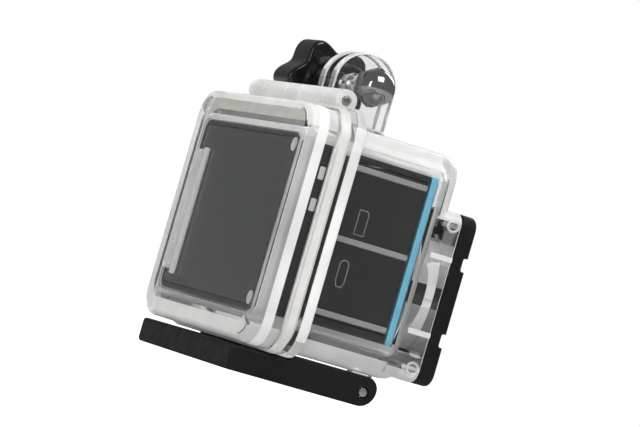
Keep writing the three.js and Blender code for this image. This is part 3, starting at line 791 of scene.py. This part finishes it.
def lens_port():
    port_frame()
    window = slab("port_window_glass", *spans("port_window"), 4.7, fillet=(0.25, 0.25))
    place(window, "housing", "port_glass", GLASS, "port_window")
    seal = slab("port_gasket", *spans("port_seal"), 4.7, fillet=(0.1, 0.1))
    cut(seal, rod("part", PORT_OPENING, "y", (-21, -18), (LENS[0], 0, LENS[1]), segments=96))
    place(seal, "housing", "rubber", RUBBER, "port_seal")

    # Two ribs and two ring marks on the side of the clear box behind the frame.
    side = SHELL_X[0]
    for i, z in enumerate((2.7, -14.2), 1):
        across = (side - 0.3, side + 0.2)
        rib = slab(f"port_rib_{i}", across, (-18.9, -13.5), about(z, 0.6), 0.25, "x", (0.15, 0.0))
        place(rib, "housing", "clear", CLEAR_DIFFUSE_AND_HIGHLIGHT)
    for i, z in enumerate((10.0, -22.0), 1):
        ring = lathe(f"port_ring_{i}", ring_profile(1.3, side, 0.3, 12), "x", (0, -17.0, z), 32)
        place(ring, "housing", "clear", CLEAR_SLIGHT_DIFFUSE_AND_HIGHLIGHT)

    port_screws()


def latch_lock():
    """The sliding lock in the latch's well, with three ribs for a finger."""
    lock_x, lock_y, lock_z = spans("latch_lock")
    lock = slab("lock_slider", lock_x, lock_y, (lock_z[0] + 0.5, lock_z[1]), 0.8, "z", (0.2, 0.0))
    rib_y = grown(lock_y, -0.8)
    rib_z = (lock_z[0], lock_z[1] - 0.3)
    for i in (-1, 0, 1):
        rib_x = about(sum(lock_x) / 2 + 2.1 * i, 0.45)
        join(lock, slab("part", rib_x, rib_y, rib_z, 0.3, "z", (0.15, 0.0)))
    place(lock, "latch_lock", "grey", GREY, "latch_lock")


def hinge_and_latch():
    pin = rod("hinge_pin_steel", 0.9, "x", span("door_hinge_pin", X), (0, *HINGE), 0.25, 32)
    place(pin, "housing", "steel", STEEL, "door_hinge_pin")
    for i in (1, 2):
        pin = rod(f"latch_pin_steel_{i}", 1.0, "x", span(f"latch_pin_{i}", X), (0, *LATCH_PIN), 0.2, 32)
        place(pin, "housing", "steel", STEEL, f"latch_pin_{i}")

    plate = rounded((PLATE_FRONT, LATCH_Y[1]), (LATCH_Z[0], PLATE_TOP), 0.8, 8)
    latch = prism("latch_black", plate, "x", LATCH_X, (0.5, 0.5))
    arm = rounded((LATCH_Y[0], ARM_BACK), LATCH_Z, (0.8, 0.8, 2.8, 3.8), 8)
    for ends in ((LATCH_X[0], -ARM_INNER), (ARM_INNER, LATCH_X[1])):
        join(latch, prism("part", arm, "x", ends, (0.5, 0.5)))
    lock_x, lock_y, lock_z = spans("latch_lock")
    well_x = (lock_x[0] - GAP, lock_x[1] + LOCK_TRAVEL + GAP)
    cut(
        latch,
        slab("part", well_x, grown(lock_y, GAP), (-35, lock_z[1] + GAP), 0.8, "z"),
        rod("part", LATCH_BORE, "x", (-30, 30), (0, *LATCH_PIN), segments=32),
    )
    place(latch, "latch", "matte_black", MATTE, "latch")
    latch_lock()


def coil(name, along, radius, wire, limits, turns, centre):
    """A spring: a round wire wound about an axis."""
    w, u, v = order(along)
    points = []
    count = int(28 * turns)
    for i in range(count + 1):
        angle = 2 * math.pi * turns * i / count
        point = list(centre)
        point[w] += limits[0] + (limits[1] - limits[0]) * i / count
        point[u] += radius * math.cos(angle)
        point[v] += radius * math.sin(angle)
        points.append(point)
    return stroke(name, points, wire / 2, closed=False)


def push_button(name, button):
    """A cap with a stem, its clip, o-ring and spring, and the camera's own button below it."""
    along, sign, at, wall, face = (button[key] for key in ("along", "sign", "at", "wall", "face"))
    top = wall + button["cap"]
    lid = top - CAP_LID
    body = f"{name}_button"
    profile = [(0, face + GAP), (STEM, face + GAP), (STEM, lid), (CAP_INNER, lid)]
    profile += [(CAP_INNER, wall + 1), (CAP_OUTER, wall + 1)]
    profile += arc((CAP_OUTER - 0.5, top - 0.5), 0.5, 0, 90) + [(3.0, top), (2.6, top - 0.3), (0, top - 0.3)]
    cap = lathe(f"{name}_cap", [(r, sign * h) for r, h in profile], along, at)
    place(cap, body, "matte_black", MATTE, f"{name}_plunger")
    clip = outward(button, face + 0.9, face + 1.3)
    ring = [(1.5, clip[0]), (2.2, clip[0]), (2.2, clip[1]), (1.5, clip[1]), (1.5, clip[0])]
    place(lathe(f"{name}_snap_ring", ring, along, at, 40), body, "steel", STEEL, f"{name}_clip")
    height = sum(outward(button, wall + 0.3, wall + 1.1)) / 2
    seal = lathe(f"{name}_o_ring", ring_profile(1.95, height, 0.4, 16), along, at, 40)
    place(seal, "housing", "rubber", RUBBER, f"{name}_seal")
    wound = outward(button, wall + GAP + SPRING_WIRE / 2, lid - GAP - PRESS - SPRING_WIRE / 2)
    turns = max(1.2, 0.8 * (wound[1] - wound[0]))
    wire = coil(f"{name}_coil", along, SPRING_RADIUS, SPRING_WIRE, wound, turns, at)
    place(wire, "housing", "steel", STEEL, f"{name}_spring")
    key = rod(f"camera_{name}_key_cap", KEY, along, outward(button, face - 1.1, face), at, 0.25)
    place(key, f"camera_{name}_key", "charcoal", CHARCOAL, f"camera_{name}_button")


# The camera ----------------------------------------------------------------------------------


def camera_case():
    """The body, hollow, with openings for the side panel, the hatch, the plug and two buttons."""
    hollow_y = (-12, CASE_Y[1] - CASE_WALL)
    body = slab("camera_case", CASE_X, CASE_Y, CASE_Z, 3.0, fillet=(0.2, 0.6))
    holes = [
        slab("part", grown(CASE_X, -CASE_WALL), hollow_y, grown(CASE_Z, -CASE_WALL), 1.5),
        slab("part", (CASE_X[0] - OVER, CASE_X[0] + 2), (-12, 8.0), (-17.0, 17.5)),
        slab("part", (3.4, 27.3), (-7.3, 5.8), (CASE_Z[1] - 2, CASE_Z[1] + OVER)),
        slab("part", LINK_X, (7.5, 12.0), LINK_Z),
    ]
    for name in ("shutter", "side"):
        button = BUTTONS[name]
        limits = outward(button, button["face"] - 2, button["face"] + OVER)
        holes.append(rod("part", KEY_HOLE, button["along"], limits, button["at"]))
    cut(body, *holes)
    place(body, "housing", "charcoal", CHARCOAL, "camera_body")
    side_panel()
    hatch = slab("battery_hatch", *spans("battery_door"), 0.8, "z", (0.0, 0.25))
    place(hatch, "housing", "charcoal", CHARCOAL, "battery_door")


def side_panel():
    """The ribbed door over the sockets."""
    side = CASE_X[0]
    panel_y, panel_z = span("side_door", Y), span("side_door", Z)
    panel = slab("side_panel", (side, side + 1.2), panel_y, panel_z, 0.4, "x", (0.25, 0.0))
    place(panel, "housing", "charcoal", CHARCOAL, "side_door")
    rib_x = (side - 0.28, side + 0.2)
    for i, z in enumerate((16.0, 0.4, -15.8), 1):
        rib = slab(f"side_rib_{i}", rib_x, (-9.7, 7.7), about(z, 0.65), 0.3, "x", (0.22, 0.0))
        place(rib, "housing", "charcoal", RIB)

    # Plain outlines of a card and of a socket, printed on the panel.
    card = [(4.0, 7.6), (2.2, 7.6), (1.7, 7.0), (1.7, 2.2), (4.0, 2.2)]
    socket = arc((4.0, -4.8), 1.05, 0, 180, 8) + [(2.95, -8.4), (3.4, -9.6), (4.6, -9.6), (5.05, -8.4)]
    for name, outline in (("card_mark", card), ("socket_mark", socket)):
        mark = stroke(name, [(side - 0.03, y, z) for y, z in outline], 0.13)
        place(mark, "housing", "charcoal", PRINT)


def camera_face():
    """The blue band and the front plate, with the status display and the status light."""
    past_plate = (-14, -9)
    band = slab("trim_band", CASE_X, span("front_trim", Y), CASE_Z, 3.0, fillet=(0.7, 0.15))
    cut(band, slab("part", grown(CASE_X, -TRIM_WALL), past_plate, grown(CASE_Z, -TRIM_WALL), 1.7))
    place(band, "housing", "blue", BLUE, "front_trim")

    plate = slab("face_plate", *spans("front_plate"), 1.6, fillet=(0.3, 0.0))
    cut(
        plate,
        rod("part", BEZEL_BORE, "y", past_plate, (LENS[0], 0, LENS[1])),
        rod("part", KEY_HOLE, "y", past_plate, BUTTONS["power"]["at"]),
        slab("part", (12.7, 25.3), past_plate, (-12.3, -2.7), 0.8),
        rod("part", 1.3, "y", past_plate, STATUS_LIGHT, segments=24),
    )
    place(plate, "housing", "charcoal", CHARCOAL, "front_plate")
    shown = slab("status_screen", *spans("status_display"), 0.6, fillet=(0.15, 0.0))
    place(shown, "housing", "display", SCREEN, "status_display")
    light = rod("status_lens", 1.0, "y", span("status_light", Y), STATUS_LIGHT, 0.3, 24)
    place(light, "housing", "port_glass", GLASS, "status_light")


def lens_group():
    """The ring round the lens, the stepped barrel, and the two lenses in it."""
    centre = (LENS[0], 0, LENS[1])
    front, back = span("lens_bezel", Y)
    bezel = [(BEZEL_BORE, back), (11.3, back), (11.3, -14.4), (11.0, -14.6), (11.0, -15.0), (11.3, -15.2)]
    bezel += [(11.3, front + 0.7)] + arc((10.6, front + 0.7), 0.7, 0, -90)
    bezel += [(9.6, front), (9.3, front + 0.25), (9.0, front + 0.25)]
    bezel += [(BEZEL_BORE, front + 1.0), (BEZEL_BORE, back)]
    place(lathe("bezel_ring", bezel, "y", centre, 96), "housing", "gloss_black", GLOSS, "lens_bezel")
    barrel = [(8.0, -16.3), (7.8, -16.5), (6.9, -16.5), (6.6, -16.2), (6.6, -12.8)]
    barrel += [(5.6, -12.8), (5.4, -12.0), (4.9, -12.0), (4.7, -11.0)]
    barrel += [(4.3, -11.0), (4.3, 2.0), (8.0, 2.0), (8.0, -16.3)]
    place(lathe("barrel_tube", barrel, "y", centre, 80), "housing", "gloss_black", GLOSS, "lens_barrel")
    front_glass = [(0, -16.2)] + arc((0, -8.2), 8.0, -90, -38, 12)[1:] + [(6.3, -13.1), (0, -13.1)]
    place(lathe("front_glass", front_glass, "y", centre, 64), "housing", "port_glass", GLASS, "front_lens")
    rear_glass = [(0, -3.2)] + arc((0, 1.6), 4.8, -90, -34, 8)[1:] + [(3.98, -0.6), (0, -0.6)]
    place(lathe("rear_glass", rear_glass, "y", centre, 48), "housing", "port_glass", GLASS, "rear_lens")


def screen_module():
    """The module on the camera's back, with its screen and two pale marks on its side."""
    front, back = SCREEN_Y
    case = slab("screen_shell", SCREEN_X, SCREEN_Y, SCREEN_Z, 3.0, fillet=(0.3, 0.9))
    hollow_x = grown(SCREEN_X, -CASE_WALL)
    hollow_y = (front + CASE_WALL, back + OVER)
    cut(
        case,
        slab("part", hollow_x, hollow_y, grown(SCREEN_Z, -CASE_WALL), 1.5),
        slab("part", LINK_X, (front - OVER, front + 3), LINK_Z),
    )
    place(case, "housing", "matte_black", CHARCOAL, "screen_case")
    pane = slab("screen_pane", *spans("screen_glass"), 1.2, fillet=(0.0, 0.25))
    place(pane, "housing", "port_glass", SCREEN, "screen_glass")
    mark_x = (SCREEN_X[0] - 0.12, SCREEN_X[0] + 0.2)
    for i, z in enumerate((12.6, 5.6), 1):
        mark = slab(f"screen_side_mark_{i}", mark_x, (14.4, 15.7), about(z, 1.4), 0.3, "x", (0.1, 0.0))
        place(mark, "housing", "matte_black", PALE)


# The thumbscrew ------------------------------------------------------------------------------


def star(lobes, radius, depth, turn):
    """The outline of a knob with round lobes. The turn is in radians."""

    def outline(inset):
        points = []
        for i in range(lobes * 24):
            angle = 2 * math.pi * i / (lobes * 24)
            r = (radius - inset) * (1 - depth + depth * math.cos(lobes * (angle - turn)))
            points.append((r * math.cos(angle), BOLT_Z + r * math.sin(angle)))
        return points

    return outline


def hexagon(reach):
    """The outline of a nut, by how far its corners reach."""

    def outline(inset):
        return arc((0, BOLT_Z), reach - inset, 30, 330, 5)

    return outline


def threaded(name, along_x, radius, depth, pitch):
    """A rod along X with a screw thread, its low end tapered."""
    low, high = along_x
    bm = bmesh.new()
    around, per_turn = 40, 8
    count = int((high - low) / pitch * per_turn)
    rings = []
    for k in range(count + 1):
        x = low + (high - low) * k / count
        taper = min(1.0, 0.75 + (x - low) * 0.5)
        ring = []
        for i in range(around):
            phase = (x / pitch - i / around) % 1.0
            groove = depth * (1 - abs(2 * phase - 1))
            angle = 2 * math.pi * i / around
            r = (radius - groove) * taper
            ring.append(bm.verts.new((x, r * math.cos(angle), BOLT_Z + r * math.sin(angle))))
        rings.append(ring)
    skin(bm, rings)
    bm.faces.new(rings[0])
    bm.faces.new(rings[-1])
    return make(name, bm)


def thumb_knob():
    """Five lobes on a neck, with a dish in the end and a blind hole for the bolt."""
    centre = (0, 0, BOLT_Z)
    low, high = span("thumb_knob", X)
    neck_end = low + 9.5
    neck = [(0, low)] + arc((4.1, low + 0.5), 0.5, -90, 0)
    neck += [(4.6, neck_end - 2), (6.2, neck_end + 0.5), (0, neck_end + 0.5)]
    lobes = star(5, 9.6, 0.13, math.radians(-10))
    knob = prism("knob_black", lobes, "x", (neck_end, high), (1.2, 1.6), 7)
    join(knob, lathe("part", neck, "x", centre))
    hole_x = (low - OVER, span("thumb_bolt", X)[1] + GAP)
    dish = [(0, high - 0.8), (4.4, high - 0.8), (5.0, high + OVER), (0, high + OVER)]
    cut(knob, rod("part", BOLT_HOLE, "x", hole_x, centre), lathe("part", dish, "x", centre))
    place(knob, "thumbscrew", "gloss_black", GLOSS, "thumb_knob", angle=40)


def acorn_nut():
    """A hexagon with its corners turned down, and a dome, closed over the end of the bolt."""
    centre = (0, 0, BOLT_Z)
    low, high = span("acorn_nut", X)
    nut = prism("nut_chrome", hexagon(4.5), "x", (low + 4.1, high))
    chamfer = [(0, low), (3.9, low), (4.6, low + 4.7), (4.6, high - 0.4), (4.1, high), (0, high)]
    combine(nut, "INTERSECT", lathe("part", chamfer, "x", centre, 96))
    dome = [(0, low)] + arc((0, low + 4.0), 4.0, -90, 0, 14)[1:] + [(4.0, low + 4.6), (0, low + 4.6)]
    join(nut, lathe("part", dome, "x", centre, 64))
    cut(nut, rod("part", BOLT_HOLE, "x", (span("thumb_bolt", X)[0] - GAP, high + OVER), centre))
    place(nut, "nut", "chrome", CHROME, "acorn_nut")


def thumbscrew():
    thumb_knob()
    bolt = threaded("bolt_threaded", span("thumb_bolt", X), 2.4, 0.4, 0.8)
    place(bolt, "thumbscrew", "steel", STEEL, "thumb_bolt", angle=60)
    acorn_nut()


# Inner pieces keep their CAD shape, with softened edges ---------------------------------------


def inner_pieces():
    finishes = {
        "battery": CELL, "main_board": BOARD, "sensor_board": BOARD, "screen_board": BOARD,
        "image_sensor": SCREEN, "screen_panel": SCREEN, "memory_card": GLOSS, "card_socket": STEEL,
        "data_port": STEEL, "video_port": STEEL, "speaker": GLOSS, "link_connector": GLOSS,
    }
    for name, material in finishes.items():
        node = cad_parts[name]
        node.data.materials.clear()
        node.data.materials.append(material)
        soften = node.modifiers.new("soften", "BEVEL")
        soften.width = 0.15 * MM
        soften.segments = 2
        soften.limit_method = "ANGLE"


# The studio ----------------------------------------------------------------------------------

SOFT_LEVEL, GLOSSY_LEVEL, CLEAR_LEVEL = 0.8, 0.17, 0.9  # how bright the room is for each kind of ray
FLOOR_REACH, FLOOR_GLOW = 3000, 0.6
LAMPS = {  # place, width and height in millimetres, and the brightness of the lamp's face
    "top": ((-450, 60, 820), (500, 500), 4.5),
    "strip": ((-260, 820, 160), (140, 600), 5.0),
    "back": ((520, -560, 520), (400, 400), 3.0),
}
EYE = (-746.6, 311.8, -21.3 + LIFT)
FOCAL_LENGTH, LEAN = 205, 16.2  # the lean is in degrees


def room_light():
    """White all round for the camera and for clear plastic, and dimmer for light and reflections."""
    world = bpy.data.worlds.new("studio")
    world.use_nodes = True
    tree = world.node_tree
    background = tree.nodes["Background"]
    background.inputs["Color"].default_value = (1, 1, 1, 1)
    ray = tree.nodes.new("ShaderNodeLightPath")
    level = None
    kinds = (("Is Transmission Ray", CLEAR_LEVEL), ("Glossy Depth", GLOSSY_LEVEL), ("Is Camera Ray", 1.0))
    for kind, strength in kinds:
        mix = tree.nodes.new("ShaderNodeMix")
        tree.links.new(ray.outputs[kind], mix.inputs["Factor"])
        mix.inputs["B"].default_value = strength
        if level:
            tree.links.new(level, mix.inputs["A"])
        else:
            mix.inputs["A"].default_value = SOFT_LEVEL
        level = mix.outputs["Result"]
    tree.links.new(level, background.inputs["Strength"])
    bpy.context.scene.world = world


def paper_floor():
    """A white floor that runs into the white room without a line."""
    bm = bmesh.new()
    bmesh.ops.create_grid(bm, x_segments=1, y_segments=1, size=FLOOR_REACH)
    for vertex in bm.verts:
        vertex.co.z = -LIFT
    floor = make("floor", bm)
    n = Nodes("floor_paper")
    n.bsdf.inputs["Roughness"].default_value = 0.9
    n.link(n.ramp(n.noise(0.01, 2.0), (0.8, 0.8, 0.8), (0.82, 0.82, 0.82)), n.bsdf.inputs["Base Color"])
    glow = n.add("ShaderNodeEmission", Strength=FLOOR_GLOW)
    both = n.add("ShaderNodeAddShader")
    n.link(n.bsdf.outputs[0], both.inputs[0])
    n.link(glow.outputs[0], both.inputs[1])
    ray = n.add("ShaderNodeLightPath")
    chosen = n.mix_shader(ray.outputs["Is Camera Ray"], n.bsdf.outputs[0], both.outputs[0])
    n.link(chosen, n.output.inputs["Surface"])
    floor.data.materials.append(n.material)
    floor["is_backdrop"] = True


def studio():
    bpy.context.scene.view_settings.view_transform = "Standard"
    room_light()
    paper_floor()
    for name, (at, (width, height), bright) in LAMPS.items():
        lamp = bpy.data.lights.new(name, "AREA")
        lamp.shape = "RECTANGLE"
        lamp.size, lamp.size_y = width * MM, height * MM
        lamp.energy = bright * math.pi * lamp.size * lamp.size_y
        holder = bpy.data.objects.new(name, lamp)
        holder.location = Vector(at) * MM
        aim = Vector((0, 0, LIFT * MM)) - holder.location
        holder.rotation_euler = aim.to_track_quat("-Z", "Y").to_euler()
        bpy.context.scene.collection.objects.link(holder)


def camera():
    """The eye stands behind and to the -X side, level with the latch, and leans."""
    eye = Vector(EYE) * MM
    low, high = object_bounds()
    target = (low + high) / 2
    look = (target - eye).to_track_quat("-Z", "Y").to_matrix().to_4x4()
    lean = Matrix.Rotation(math.radians(LEAN), 4, "Z")
    data = bpy.data.cameras.new("camera")
    data.lens = FOCAL_LENGTH
    data.clip_start, data.clip_end = 0.01, 20
    holder = bpy.data.objects.new("camera", data)
    holder.matrix_world = Matrix.Translation(eye) @ look @ lean
    bpy.context.scene.collection.objects.link(holder)
    bpy.context.scene.camera = holder


housing_shell()
back_door()
lens_port()
hinge_and_latch()
for button_name, button_data in BUTTONS.items():
    push_button(button_name, button_data)
camera_case()
camera_face()
lens_group()
screen_module()
thumbscrew()
inner_pieces()
studio()
camera()
